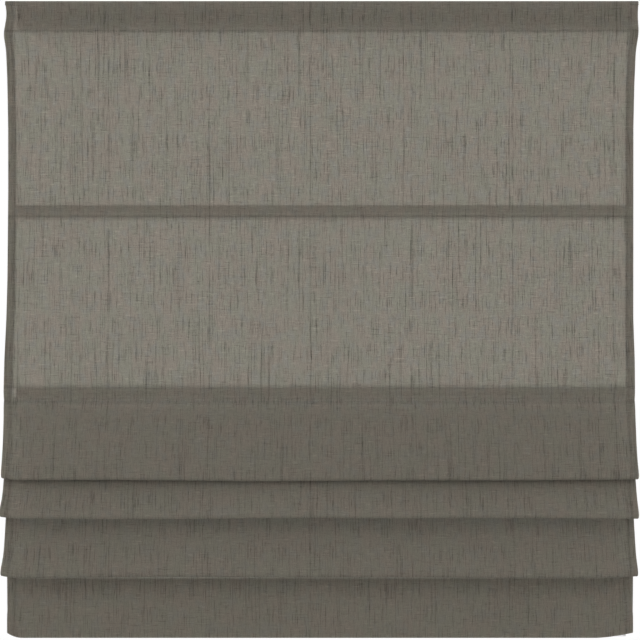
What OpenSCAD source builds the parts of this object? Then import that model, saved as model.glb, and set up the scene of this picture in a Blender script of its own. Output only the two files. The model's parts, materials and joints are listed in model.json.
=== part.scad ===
// Roman blind with a chain drive, drawn up to about three fifths of its drop.
// Millimetres. +Z is up, -Y faces the room, the wall is behind the brackets.
// The origin is the centre of the middle bracket's ceiling screws.

/* [Fabric] */
// Finished width of the fabric
fabric_w = 1000; // [800:10:1400]
// Thickness of the fabric
fabric_t = 1; // [0.6:0.1:1.4]
// From the top edge to the middle of the first rod pocket
first_drop = 336; // [260:1:420]
// Length of fabric from one rod pocket to the next
rod_pitch = 293; // [240:1:360]
// Length of fabric below the last rod pocket
tail = 167; // [130:1:200]
// Depth of the turned-up hem at the bottom
hem_depth = 96; // [60:1:110]

/* [Folds] */
// How far the first fold's front stands out from the flat fabric
fold_reach_1 = 58; // [44:1:66]
// How far the second fold's front stands out
fold_reach_2 = 53; // [44:1:64]
// How far the third fold's front stands out
fold_reach_3 = 44; // [38:1:54]
// Radius of the turn at the bottom of a fold
turn_r = 10; // [8:0.5:12]
// How far the third rod pocket hangs below the second
hang_3 = 14; // [10:1:20]
// How far the fourth rod pocket's top is below the third's
hang_4 = 81; // [70:1:100]
// How far the fifth rod pocket's top is below the fourth's
hang_5 = 98; // [80:1:125]

/* [Rods and rings] */
// Height of a rod pocket
pocket_h = 20; // [16:1:26]
// Radius of a rod
rod_r = 2; // [1.5:0.1:2.2]
// Clear space around a rod in its pocket
rod_clear = 0.25; // [0.15:0.05:0.4]
// Wall of a rod pocket
pocket_wall = 0.5; // [0.4:0.1:0.7]
// How far a rod's pocket stops short of the fabric's edge
pocket_inset = 21; // [18:1:30]
// Mean radius of a ring
ring_r = 5.3; // [5:0.1:6.5]
// Radius of a ring's wire
ring_wire_r = 1.2; // [0.8:0.1:1.3]
// Width of the flat bottom bar
bar_h = 25; // [20:1:30]
// Thickness of the flat bottom bar
bar_t = 3; // [2:0.5:4]

/* [Headrail] */
// Depth of the headrail, front to back
rail_d = 32; // [32:1:40]
// Height of the headrail
rail_h = 41; // [39:1:50]
// Wall of the headrail
rail_wall = 1.5; // [1.2:0.1:1.8]
// Width of the slot in the top of the headrail
rail_slot = 12; // [11:0.5:14]
// How far the headrail stops short of the fabric's edge
rail_inset = 15; // [14:1:22]
// Height of the hook and loop tapes
tape_h = 25; // [20:1:30]
// Thickness of the hook tape
hook_t = 1.2; // [0.8:0.1:1.6]
// Thickness of the loop tape
loop_t = 1.4; // [0.8:0.1:1.8]

/* [Lift] */
// Distance between neighbouring lift cords
cord_gap = 390; // [300:5:390]
// Radius of a lift cord
cord_r = 0.7; // [0.5:0.1:0.8]
// Radius of a spool's drum
drum_r = 8; // [7:0.1:8.4]
// Width of the drum between its flanges
drum_w = 25; // [20:1:32]
// Radius of a spool's flanges
flange_r = 12; // [11:0.1:12.5]
// Side of the square drive shaft
shaft_side = 6; // [5:0.5:6]
// Clear space between the shaft and its square holes
shaft_clear = 0.05; // [0.03:0.01:0.1]
// Radius of a spool's journals
journal_r = 5; // [4.6:0.1:5.5]
// Clear space around a journal in its bearing
running_clear = 0.05; // [0.02:0.01:0.1]

/* [Brackets] */
// Distance between neighbouring brackets
bracket_gap = 280; // [200:5:340]
// Thickness of the bracket's steel
plate_t = 2; // [1.5:0.1:2.5]
// Width of a bracket
plate_w = 48; // [46:1:60]
// Height of a bracket's wall flange
flange_h = 32; // [28:1:38]
// Distance between a bracket's two screw holes
screw_gap = 36; // [34:1:40]
// Radius of a screw hole
screw_r = 2.25; // [1.75:0.25:2.5]
// Thickness of a cam's lever and of its locking head
cam_t = 2.6; // [2:0.1:3]
// Length of a cam's lever from its pivot
cam_lever = 13; // [11:0.5:13.5]

/* [Chain drive] */
// Radius of the circle that the chain's beads run on
bead_circle_r = 10.5; // [9.5:0.1:10.8]
// Radius of a bead of the chain
bead_r = 2.25; // [2:0.05:2.3]
// Number of bead pockets round the chain wheel
bead_count = 11; // [9:1:11]
// Thickness of the chain wheel
wheel_t = 7.5; // [7:0.1:8]
// Wall of the drive's housing and cover
case_wall = 2; // [1.6:0.1:2.4]

/* [Hidden] */
$fn = 64;
gap = 0.3;            // clear space between pieces that only lie close
cord_x = [-cord_gap, 0, cord_gap];
bracket_x = [-bracket_gap, 0, bracket_gap];

// headrail, from the ceiling down
rail_top = -(plate_t + cam_t + 2 * gap);
rail_bottom = rail_top - rail_h;
rail_half = fabric_w / 2 - rail_inset;
inner_half_d = rail_d / 2 - rail_wall;
inner_top = rail_top - rail_wall;
floor_z = rail_bottom + rail_wall;
axle_z = rail_top - rail_h / 2;
tape_top = rail_top - 3;

// planes from the headrail's front towards the room
hook_front = -rail_d / 2 - hook_t;
fabric_back = hook_front - loop_t;
fabric_y = fabric_back - fabric_t / 2;
fabric_front = fabric_back - fabric_t;

// rod pockets: a flat tape whose far edge holds a round tube
bore_r = rod_r + rod_clear;
tube_r = bore_r + pocket_wall;
tape_t = pocket_wall + 0.1;
tube_u = pocket_h - tube_r - 0.75;
pocket_half = fabric_w / 2 - pocket_inset;
pocket_z_1 = -first_drop + pocket_h / 2;
pocket_z_2 = pocket_z_1 - rod_pitch;
pocket_back = fabric_back + 2 * tube_r;
ring_y = pocket_back + gap + ring_wire_r + ring_r;
cord_lean = 2.4;      // how far a cord hangs in front of the middle of its rings
cord_y = ring_y - cord_lean;
axle_y = cord_y + drum_r + cord_r;

// the folded part: the cloth creases over at the top edge of pockets 3 to 5
bend_r = 2.5;
pocket_z_3 = pocket_z_2 - pocket_h - hang_3;
pocket_z_4 = pocket_z_3 - hang_4;
pocket_z_5 = pocket_z_4 - hang_5;
run_length = rod_pitch - pocket_h;
tail_bottom = pocket_z_5 - pocket_h - tail;
hem_r = (bar_t + 2 * gap + fabric_t) / 2;

// curves in the YZ plane
run_steps = 12;
turn_steps = 12;
bend_steps = 6;

function mix(a, b, t) = a * (1 - t) + b * t;
function bezier(p, t) = let (
        a = mix(p[0], p[1], t),
        b = mix(p[1], p[2], t),
        c = mix(p[2], p[3], t)
    ) mix(mix(a, b, t), mix(b, c, t), t);
// a curve and an arc without their first points, which end the stretch before them
function run(p, steps) = [for (i = [1 : steps]) bezier(p, i / steps)];
function arc(centre, r, a0, a1, steps) = [
    for (i = [1 : steps])
        let (a = mix(a0, a1, i / steps))
        centre + r * [cos(a), sin(a)]
];
function path_length(p, i = 0) =
    i >= len(p) - 1 ? 0 : norm(p[i + 1] - p[i]) + path_length(p, i + 1);

// a fold leaves one pocket's lower edge, swings forwards, turns and climbs to the next crease;
// its shape is [reach, way it leaves the pocket, share of its fall that it hangs straight]
function fold(shape, pocket_z, next_z, bottom) = let (
        start = [fabric_y, pocket_z - pocket_h],
        front = [fabric_y - shape[0], bottom + turn_r],
        rear = front + [2 * turn_r, 0],
        crease = [fabric_y - 2 * bend_r, next_z],
        fall = start[1] - front[1],
        climb = crease[1] - rear[1]
    ) concat(
        [start],
        run([start, start + shape[1], front + [0, fall * shape[2]], front], run_steps),
        arc(front + [turn_r, 0], turn_r, 180, 360, turn_steps),
        run([rear, rear + [0, climb * 0.4], crease - [0, climb * 0.3], crease], run_steps),
        arc(crease + [bend_r, 0], bend_r, 180, 0, bend_steps)
    );

// the level of a fold's lower edge at which its cloth is as long as it was cut
function fold_bottom(shape, pocket_z, next_z, low, high, tries) = let (
        mid = (low + high) / 2,
        long = path_length(fold(shape, pocket_z, next_z, mid)) > run_length
    ) tries == 0 ? mid
    : long ? fold_bottom(shape, pocket_z, next_z, mid, high, tries - 1)
    : fold_bottom(shape, pocket_z, next_z, low, mid, tries - 1);
function hung_fold(shape, pocket_z, next_z) = fold(
    shape, pocket_z, next_z,
    fold_bottom(shape, pocket_z, next_z, pocket_z - rod_pitch, next_z - turn_r, 24)
);

shape_1 = [fold_reach_1, [-18, -8], 0.4];
shape_2 = [fold_reach_2, [-10, -70], 0.2];
shape_3 = [fold_reach_3, [-8, -70], 0.2];

fold_path = concat(
    [[fabric_y, pocket_z_2]],
    hung_fold(shape_1, pocket_z_2, pocket_z_3),
    hung_fold(shape_2, pocket_z_3, pocket_z_4),
    hung_fold(shape_3, pocket_z_4, pocket_z_5),
    [[fabric_y, pocket_z_5 - pocket_h], [fabric_y, tail_bottom + hem_r]],
    arc([fabric_y + hem_r, tail_bottom + hem_r], hem_r, 180, 360, bend_steps * 2),
    [[fabric_y + 2 * hem_r, tail_bottom + bar_h + 2 * hem_r],
     [fabric_y + fabric_t + gap / 2, tail_bottom + hem_depth]]
);

// an outline drawn in the YZ plane, made as long as the blind is wide between x = -half and half
module along_x(half) {
    translate([-half, 0, 0])
        rotate([90, 0, 90])
            linear_extrude(2 * half)
                children();
}

// a round piece along X, from x0 to x1
module rod_x(r, x0, x1) {
    translate([x0, 0, 0])
        rotate([0, 90, 0])
            cylinder(r = r, h = x1 - x0);
}

// a square bar along X, from x0 to x1
module bar_x(side, x0, x1) {
    translate([x0, -side / 2, -side / 2])
        cube([x1 - x0, side, side]);
}

// a box given by two opposite corners
module block(low, high) {
    translate(low)
        cube(high - low);
}

// ---- headrail ----

module rail_section() {
    difference() {
        translate([-rail_d / 2, rail_bottom])
            square([rail_d, rail_h]);
        translate([-inner_half_d, floor_z])
            square([2 * inner_half_d, inner_top - floor_z]);
        translate([-rail_slot / 2, inner_top - 1])
            square([rail_slot, rail_wall + 2]);
    }
}

module headrail() {
    color("silver")
        difference() {
            along_x(rail_half)
                rail_section();
            for (x = cord_x)
                translate([x, cord_y, rail_bottom - 1])
                    cylinder(r = 4, h = rail_wall + 2);
        }
}

module end_cap() {
    plug = 10;
    color("lightgrey") {
        block([-rail_half - case_wall, -rail_d / 2, rail_bottom], [-rail_half, rail_d / 2, rail_top]);
        difference() {
            block([-rail_half, gap - inner_half_d, floor_z + gap],
                  [plug - rail_half, inner_half_d - gap, inner_top - gap]);
            block([-rail_half, 2 - inner_half_d, floor_z + 2],
                  [plug + 1 - rail_half, inner_half_d - 2, inner_top - 2]);
        }
    }
}

module hook_tape() {
    color("whitesmoke")
        block([-rail_half, hook_front, tape_top - tape_h], [rail_half, -rail_d / 2, tape_top]);
}

module loop_tape() {
    color("gainsboro")
        block([-rail_half, fabric_back, tape_top - tape_h], [rail_half, hook_front, tape_top]);
}

// ---- brackets and their cams ----

module bracket(x) {
    wall_y = rail_d / 2 + 1 + plate_t;
    color("lightsteelblue")
        translate([x, 0, 0])
            difference() {
                union() {
                    block([-plate_w / 2, 2 - rail_d / 2, -plate_t], [plate_w / 2, wall_y, 0]);
                    block([-plate_w / 2, wall_y - plate_t, -flange_h], [plate_w / 2, wall_y, 0]);
                }
                for (side = [-1, 1]) {
                    translate([side * screw_gap / 2, 0, -plate_t - 1])
                        cylinder(r = screw_r, h = plate_t + 2);
                    translate([side * screw_gap / 2, wall_y + 1, -flange_h * 0.6])
                        rotate([90, 0, 0])
                            cylinder(r = screw_r, h = plate_t + 2);
                }
                translate([0, 0, -plate_t - 1])
                    cylinder(r = cam_post_r + running_clear, h = plate_t + 2);
            }
}

cam_post_r = 3;
cam_neck_r = 4;
cam_disc_r = 7;
lever_w = 8;
head_w = 9;
head_long = 2 * inner_half_d - 5;

module cam(x) {
    lever_top = -plate_t - gap;
    head_top = inner_top - gap;
    color("white")
        translate([x, 0, 0]) {
            translate([0, 0, -plate_t - 1])
                cylinder(r = cam_post_r, h = plate_t + 1 - gap);
            translate([0, 0, lever_top - cam_t])
                cylinder(r = cam_disc_r, h = cam_t);
            block([-lever_w / 2, -cam_lever, lever_top - cam_t], [lever_w / 2, 0, lever_top]);
            translate([0, 0, head_top - 1])
                cylinder(r = cam_neck_r, h = lever_top - head_top);
            block([-head_w / 2, -head_long / 2, head_top - cam_t], [head_w / 2, head_long / 2, head_top]);
        }
}

// ---- spools, cradles and shaft ----

cheek_t = 2.5;
flange_t = 1.5;
cheek_x = drum_w / 2 + flange_t + 1;
base_top = floor_z + 2.5;

module spool(x) {
    color("ivory")
        translate([x, axle_y, axle_z])
            difference() {
                union() {
                    rod_x(drum_r, -drum_w / 2, drum_w / 2);
                    for (side = [-1, 1])
                        translate([side * (drum_w + flange_t) / 2, 0, 0])
                            rod_x(flange_r, -flange_t / 2, flange_t / 2);
                    rod_x(journal_r, -cheek_x - cheek_t - 1, cheek_x + cheek_t + 1);
                }
                bar_x(shaft_side + 2 * shaft_clear, -cheek_x - cheek_t - 2, cheek_x + cheek_t + 2);
            }
}

// the turns of cord lie side by side on the drum and make one ribbed sleeve
module wound_cord(x) {
    turns = floor((drum_w - 2 * gap) / (2 * cord_r));
    first = -(turns - 1) * cord_r;
    color("whitesmoke")
        translate([x, axle_y, axle_z])
            rotate([0, 90, 0])
                rotate_extrude()
                    difference() {
                        union() {
                            translate([drum_r, first - cord_r / 2])
                                square([cord_r, (2 * turns - 1) * cord_r]);
                            for (i = [0 : turns - 1])
                                translate([drum_r + cord_r, first + 2 * cord_r * i])
                                    circle(cord_r * 1.04, $fn = 16);
                        }
                        translate([0, -drum_w])
                            square([drum_r, 2 * drum_w]);
                    }
}

module cradle(x) {
    color("white")
        translate([x, 0, 0])
            difference() {
                union() {
                    block([-cheek_x - cheek_t, gap - inner_half_d, floor_z],
                          [cheek_x + cheek_t, inner_half_d - gap, base_top]);
                    for (side = [-1, 1])
                        translate([side * (cheek_x + cheek_t / 2), axle_y, 0]) {
                            block([-cheek_t / 2, -journal_r - 3, floor_z],
                                  [cheek_t / 2, journal_r + 3, axle_z]);
                            translate([0, 0, axle_z])
                                rod_x(journal_r + 3, -cheek_t / 2, cheek_t / 2);
                        }
                }
                translate([0, axle_y, axle_z])
                    rod_x(journal_r + running_clear, -cheek_x - cheek_t - 1, cheek_x + cheek_t + 1);
                translate([0, cord_y, floor_z - 1])
                    cylinder(r = 2, h = base_top - floor_z + 2);
            }
}

// ---- chain drive ----

post_r = 8;
hub_r = 12;
spring_wire_r = 0.6;
spindle_r = 5;
case_x = rail_half;
wheel_x = case_x + case_wall + 0.5;
cover_x = wheel_x + wheel_t + 0.5;
post_x = case_x - 14;
spindle_x = post_x - 1;
hub_x = spindle_x - 7;
shaft_left = -cord_gap - cheek_x - cheek_t - 1;
shaft_right = wheel_x + wheel_t / 2;

module drive_shaft() {
    color("darkgrey")
        translate([0, axle_y, axle_z])
            bar_x(shaft_side, shaft_left, shaft_right);
}

module chain_wheel() {
    bore = shaft_side + 2 * shaft_clear;
    color("white")
        translate([0, axle_y, axle_z])
            difference() {
                union() {
                    rod_x(bead_circle_r + 1.3, wheel_x, wheel_x + wheel_t);
                    rod_x(spindle_r, spindle_x, wheel_x + 1);
                }
                bar_x(bore, spindle_x - 1, shaft_right + gap);
                translate([wheel_x + wheel_t / 2, 0, 0])
                    rotate([0, 90, 0])
                        for (i = [0 : bead_count - 1])
                            rotate([0, 0, 360 / bead_count * i])
                                translate([bead_circle_r, 0, 0])
                                    sphere(bead_r, $fn = 32);
            }
}

module drive_housing() {
    cavity_r = rail_d / 2 - 1.5 - abs(axle_y);
    outlet_w = 2 * bead_r + 1.5;
    color("white")
        difference() {
            union() {
                block([case_x, -rail_d / 2, rail_bottom], [cover_x, rail_d / 2, rail_top]);
                translate([0, axle_y, axle_z])
                    rod_x(post_r, post_x, case_x + 1);
            }
            translate([0, axle_y, axle_z]) {
                rod_x(cavity_r, case_x + case_wall, cover_x + 1);
                rod_x(spindle_r + running_clear, post_x - 1, case_x + case_wall + 1);
            }
            for (side = [-1, 1])
                translate([0, axle_y + side * bead_circle_r, 0])
                    block([wheel_x, -outlet_w / 2, rail_bottom - 1],
                          [wheel_x + wheel_t, outlet_w / 2, axle_z - bead_circle_r / 2]);
        }
}

module drive_cover() {
    color("white")
        block([cover_x, -rail_d / 2, rail_bottom], [cover_x + case_wall, rail_d / 2, rail_top]);
}

module clutch_hub() {
    cup_r = post_r + 2 * spring_wire_r + 0.6;
    color("dimgrey")
        translate([0, axle_y, axle_z])
            difference() {
                rod_x(hub_r, hub_x, case_x - 1);
                rod_x(cup_r, spindle_x - gap, case_x);
                bar_x(shaft_side + 2 * shaft_clear, hub_x - 1, case_x);
            }
}

// close-wound coils on the fixed post, drawn as touching rounds
module clutch_spring() {
    coils = 9;
    color("slategrey")
        translate([post_x + 1, axle_y, axle_z])
            rotate([0, 90, 0])
                rotate_extrude()
                    difference() {
                        union() {
                            translate([post_r, 0])
                                square([spring_wire_r, 2 * (coils - 1) * spring_wire_r]);
                            for (i = [0 : coils - 1])
                                translate([post_r + spring_wire_r, 2 * spring_wire_r * i])
                                    circle(spring_wire_r * 1.03, $fn = 16);
                        }
                        translate([0, -10])
                            square([post_r + running_clear, 40]);
                    }
}

// ---- fabric ----

// a strip of cloth whose middle line is a list of points
module strip(path, t) {
    n = len(path) - 1;
    dirs = [for (i = [0 : n]) let (
                d = path[min(i + 1, n)] - path[max(i - 1, 0)]
            ) d / norm(d)];
    left = [for (i = [0 : n]) path[i] + [-dirs[i][1], dirs[i][0]] * t / 2];
    right = [for (i = [n : -1 : 0]) path[i] - [-dirs[i][1], dirs[i][0]] * t / 2];
    polygon(concat(left, right));
}

module fabric_upper() {
    color("rosybrown")
        block([-fabric_w / 2, fabric_front, pocket_z_1 - pocket_h], [fabric_w / 2, fabric_back, 0]);
}

module fabric_middle() {
    color("rosybrown")
        block([-fabric_w / 2, fabric_front, pocket_z_2], [fabric_w / 2, fabric_back, pocket_z_1 - pocket_h]);
}

module fabric_folds() {
    color("rosybrown")
        along_x(fabric_w / 2)
            strip(fold_path, fabric_t);
}

// ---- rod pockets, rods, tips and rings ----

module pocket_section() {
    difference() {
        union() {
            square([pocket_h, tape_t]);
            translate([tube_u, tube_r])
                circle(tube_r);
        }
        translate([tube_u, tube_r])
            circle(bore_r);
    }
}

// a pocket's own origin is its top edge, where it runs down the fabric's back
module hanging(z) {
    translate([0, fabric_back, z])
        rotate([-90, 0, 0])
            children();
}

module rod_pocket() {
    color("tan")
        along_x(pocket_half)
            pocket_section();
}

module rod() {
    color("whitesmoke")
        translate([0, tube_u, tube_r])
            rod_x(rod_r, -rod_half, rod_half);
}

// a cap on each end of a rod, as thick as the pocket's tube
module rod_tips() {
    color("white")
        translate([0, tube_u, tube_r])
            for (side = [-1, 1])
                difference() {
                    cap_end(side, tube_r, tip_start, tip_end);
                    cap_end(side, rod_r + running_clear, tip_start - 1, rod_half);
                }
}

module cap_end(side, r, near, far) {
    rod_x(r, min(side * near, side * far), max(side * near, side * far));
}

rod_half = pocket_half + 7;
tip_start = pocket_half + 0.5;
tip_end = rod_half + 1.5;

// the rings of one rod, sewn to its pocket at the rod's own level
module rings(pocket_z) {
    color("white")
        for (x = cord_x)
            translate([x, ring_y, pocket_z - tube_u])
                rotate_extrude()
                    translate([ring_r, 0])
                        circle(ring_wire_r, $fn = 32);
}

// ---- lift cords and what hangs on them ----

wound_r = drum_r + 2 * cord_r;
cord_top = axle_z - sqrt(wound_r * wound_r - drum_r * drum_r) - gap;
connector_top = pocket_z_5 - tube_u - ring_wire_r - gap;
connector_r = 3.3;
connector_h = 14;
cord_grip = 8;

module lift_cord(x) {
    color("whitesmoke")
        translate([x, cord_y, connector_top - cord_grip])
            cylinder(r = cord_r, h = cord_top - connector_top + cord_grip, $fn = 24);
}

module cord_connectors() {
    color("white")
        for (x = cord_x)
            translate([x, cord_y, connector_top - connector_h])
                difference() {
                    cylinder(r = connector_r, h = connector_h);
                    translate([0, 0, connector_h - cord_grip - gap])
                        cylinder(r = cord_r + running_clear, h = cord_grip + 1);
                }
}

// ---- bottom bar ----

bar_y = fabric_y + hem_r;
bar_z = tail_bottom + hem_r;
bar_half = fabric_w / 2 - 16;
bar_cap = 4;

module bottom_bar() {
    color("silver")
        block([-bar_half, bar_y - bar_t / 2, bar_z], [bar_half, bar_y + bar_t / 2, bar_z + bar_h]);
}

module bottom_bar_caps() {
    color("white")
        for (x = [-bar_half - bar_cap, bar_half])
            block([x, bar_y - bar_t / 2, bar_z], [x + bar_cap, bar_y + bar_t / 2, bar_z + bar_h]);
}

// ---- the nodes ----

headrail();
end_cap();
hook_tape();
loop_tape();

bracket(bracket_x[0]);  // bracket_left
bracket(bracket_x[1]);  // bracket_middle
bracket(bracket_x[2]);  // bracket_right
cam(bracket_x[0]);  // cam_left
cam(bracket_x[1]);  // cam_middle
cam(bracket_x[2]);  // cam_right

cradle(cord_x[0]);  // cradle_left
cradle(cord_x[1]);  // cradle_middle
cradle(cord_x[2]);  // cradle_right
spool(cord_x[0]);  // spool_left
spool(cord_x[1]);  // spool_middle
spool(cord_x[2]);  // spool_right
wound_cord(cord_x[0]);  // wound_cord_left
wound_cord(cord_x[1]);  // wound_cord_middle
wound_cord(cord_x[2]);  // wound_cord_right

drive_shaft();
drive_housing();
drive_cover();
chain_wheel();
clutch_hub();
clutch_spring();

fabric_upper();
fabric_middle();
fabric_folds();

hanging(pocket_z_1) rod_pocket();  // rod_pocket_1
hanging(pocket_z_2) rod_pocket();  // rod_pocket_2
hanging(pocket_z_3) rod_pocket();  // rod_pocket_3
hanging(pocket_z_4) rod_pocket();  // rod_pocket_4
hanging(pocket_z_5) rod_pocket();  // rod_pocket_5
hanging(pocket_z_1) rod();  // rod_1
hanging(pocket_z_2) rod();  // rod_2
hanging(pocket_z_3) rod();  // rod_3
hanging(pocket_z_4) rod();  // rod_4
hanging(pocket_z_5) rod();  // rod_5
hanging(pocket_z_1) rod_tips();  // rod_tips_1
hanging(pocket_z_2) rod_tips();  // rod_tips_2
hanging(pocket_z_3) rod_tips();  // rod_tips_3
hanging(pocket_z_4) rod_tips();  // rod_tips_4
hanging(pocket_z_5) rod_tips();  // rod_tips_5
rings(pocket_z_1);  // rings_1
rings(pocket_z_2);  // rings_2
rings(pocket_z_3);  // rings_3
rings(pocket_z_4);  // rings_4
rings(pocket_z_5);  // rings_5

lift_cord(cord_x[0]);  // lift_cord_left
lift_cord(cord_x[1]);  // lift_cord_middle
lift_cord(cord_x[2]);  // lift_cord_right
cord_connectors();
bottom_bar();
bottom_bar_caps();
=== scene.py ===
# %% [markdown]
# # A roman blind, drawn half up
# A roman blind is one length of cloth that hangs from a headrail. Rods sewn into pockets on its back are
# pulled up by cords, and the cloth between two rods then drops forwards into a fold. This lesson dresses a
# ready-made frame, in metres, with the cloth, its hems, the sewn tapes, the cords and all the finishes.

# %% Load the frame
import json
import math

import bmesh
import bpy
import numpy as np
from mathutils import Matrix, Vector

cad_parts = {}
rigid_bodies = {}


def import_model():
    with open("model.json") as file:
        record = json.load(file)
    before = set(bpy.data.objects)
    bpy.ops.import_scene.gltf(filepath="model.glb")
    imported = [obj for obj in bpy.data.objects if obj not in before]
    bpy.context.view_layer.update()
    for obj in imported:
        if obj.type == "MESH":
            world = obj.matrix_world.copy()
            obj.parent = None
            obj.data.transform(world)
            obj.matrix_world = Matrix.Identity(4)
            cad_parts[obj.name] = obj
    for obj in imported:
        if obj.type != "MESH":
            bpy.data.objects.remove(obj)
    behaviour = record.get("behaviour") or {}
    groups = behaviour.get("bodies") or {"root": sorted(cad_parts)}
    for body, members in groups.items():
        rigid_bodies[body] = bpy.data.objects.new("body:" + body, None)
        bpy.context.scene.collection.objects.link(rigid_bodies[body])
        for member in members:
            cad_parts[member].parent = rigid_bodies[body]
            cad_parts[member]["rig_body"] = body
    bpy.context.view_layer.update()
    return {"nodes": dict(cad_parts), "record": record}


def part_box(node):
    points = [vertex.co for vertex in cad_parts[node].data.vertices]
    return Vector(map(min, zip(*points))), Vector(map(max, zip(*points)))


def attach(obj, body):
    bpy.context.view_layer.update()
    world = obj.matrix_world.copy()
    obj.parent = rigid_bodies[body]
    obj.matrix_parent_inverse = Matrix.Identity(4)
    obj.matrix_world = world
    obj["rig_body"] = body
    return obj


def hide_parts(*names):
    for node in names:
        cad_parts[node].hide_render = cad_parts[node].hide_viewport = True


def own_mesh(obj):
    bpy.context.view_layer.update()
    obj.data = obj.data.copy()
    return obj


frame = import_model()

# %% [markdown]
# Every place comes from the frame. The cloth's front plane and the levels of the five rod pockets are read
# once here, and the cord lines where the cords are made, so that a change in the frame moves the looks with
# it.

# %% Read the levels and planes
POCKETS = range(1, 6)
SIDES = ("left", "middle", "right")
upper_low, upper_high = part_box("fabric_upper")
middle_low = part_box("fabric_middle")[0]
folds_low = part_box("fabric_folds")[0]
half_width = upper_high.x
cloth_front, cloth_back = upper_low.y, upper_high.y
top_z, split_z, gather_z, bottom_z = upper_high.z, upper_low.z, middle_low.z, folds_low.z
pocket_top = {i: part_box(f"rod_pocket_{i}")[1].z for i in POCKETS}
pocket_height = pocket_top[1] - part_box("rod_pocket_1")[0].z
pocket_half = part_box("rod_pocket_1")[1].x
print(f"cloth {2 * half_width:.3f} m wide, {top_z - bottom_z:.3f} m tall as it hangs")
print("pocket tops:", [round(z, 3) for z in pocket_top.values()])

# %% [markdown]
# The camera looks straight at the cloth from nearly three metres away, level with the middle of the drop,
# with a long lens that keeps the sides nearly parallel. A white world lights both faces alike, because a
# window blind is seen with daylight behind it, and one large soft lamp in front models the folds.

# %% Camera and light
CAMERA_DISTANCE = 2.9
VIEW_WIDTH = 1.024
SENSOR_WIDTH = 36.0
OFF_CENTRE_X, OFF_CENTRE_Z = -0.0016, -0.0006


def linked(name, data):
    """An object that shows data, linked into the scene."""
    item = bpy.data.objects.new(name, data)
    bpy.context.scene.collection.objects.link(item)
    return item


camera_data = bpy.data.cameras.new("camera")
camera_data.sensor_width = SENSOR_WIDTH
camera_data.lens = SENSOR_WIDTH * CAMERA_DISTANCE / VIEW_WIDTH
camera = linked("camera", camera_data)
camera.location = (OFF_CENTRE_X, cloth_front - CAMERA_DISTANCE, (top_z + bottom_z) / 2 + OFF_CENTRE_Z)
camera.rotation_euler = (math.pi / 2, 0, 0)
bpy.context.scene.camera = camera

world = bpy.data.worlds.new("daylight")
world.use_nodes = True
world.node_tree.nodes["Background"].inputs["Color"].default_value = (1.0, 1.0, 1.0, 1.0)
world.node_tree.nodes["Background"].inputs["Strength"].default_value = 1.0
bpy.context.scene.world = world
bpy.context.scene.view_settings.view_transform = "Standard"


def soft_lamp(name, place, size, power):
    """A square lamp that faces the middle of the blind."""
    data = bpy.data.lights.new(name, "AREA")
    data.size = size
    data.energy = power
    lamp = linked(name, data)
    lamp.location = place
    aim = Vector((0, 0, bottom_z / 2)) - Vector(place)
    lamp.rotation_euler = aim.to_track_quat("-Z", "Y").to_euler()


soft_lamp("key_lamp", place=(-1.3, -2.5, 0.6), size=1.6, power=9.0)
print("camera lens", round(camera_data.lens, 1), "mm")

# %% [markdown]
# A finish is a tree of nodes. Written as sums on sockets it reads like the formula it is, so one small class
# wraps a socket and turns each operator into a Math node.

# %% A class for shader sums
class Value:
    """A socket of a material's tree, on which sums can be written."""

    def __init__(self, tree, socket):
        self.tree = tree
        self.socket = socket

    def sum_with(self, operation, first, second):
        node = self.tree.add("ShaderNodeMath", {"operation": operation}, {0: first, 1: second})
        return node.out(0)

    def __add__(self, other):
        return self.sum_with("ADD", self, other)

    __radd__ = __add__

    def __sub__(self, other):
        return self.sum_with("SUBTRACT", self, other)

    def __rsub__(self, other):
        return self.sum_with("SUBTRACT", other, self)

    def __mul__(self, other):
        return self.sum_with("MULTIPLY", self, other)

    __rmul__ = __mul__


print("sums on sockets:", [name for name in vars(Value) if name.endswith(("add__", "sub__", "mul__"))])

# %% [markdown]
# The tree itself is a second class. Any node comes from its one method add, which sets the node's choices
# first and then its sockets. The other methods name the few combinations that all of the blind's finishes
# share: noise, a smooth ramp, mixed and tinted colours, and a bump.


# %% A class for a finish and its nodes
class Node:
    """A node that was added, and its outputs as values."""

    def __init__(self, tree, node):
        self.tree = tree
        self.node = node

    def out(self, name=0):
        return Value(self.tree, self.node.outputs[name])


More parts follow.
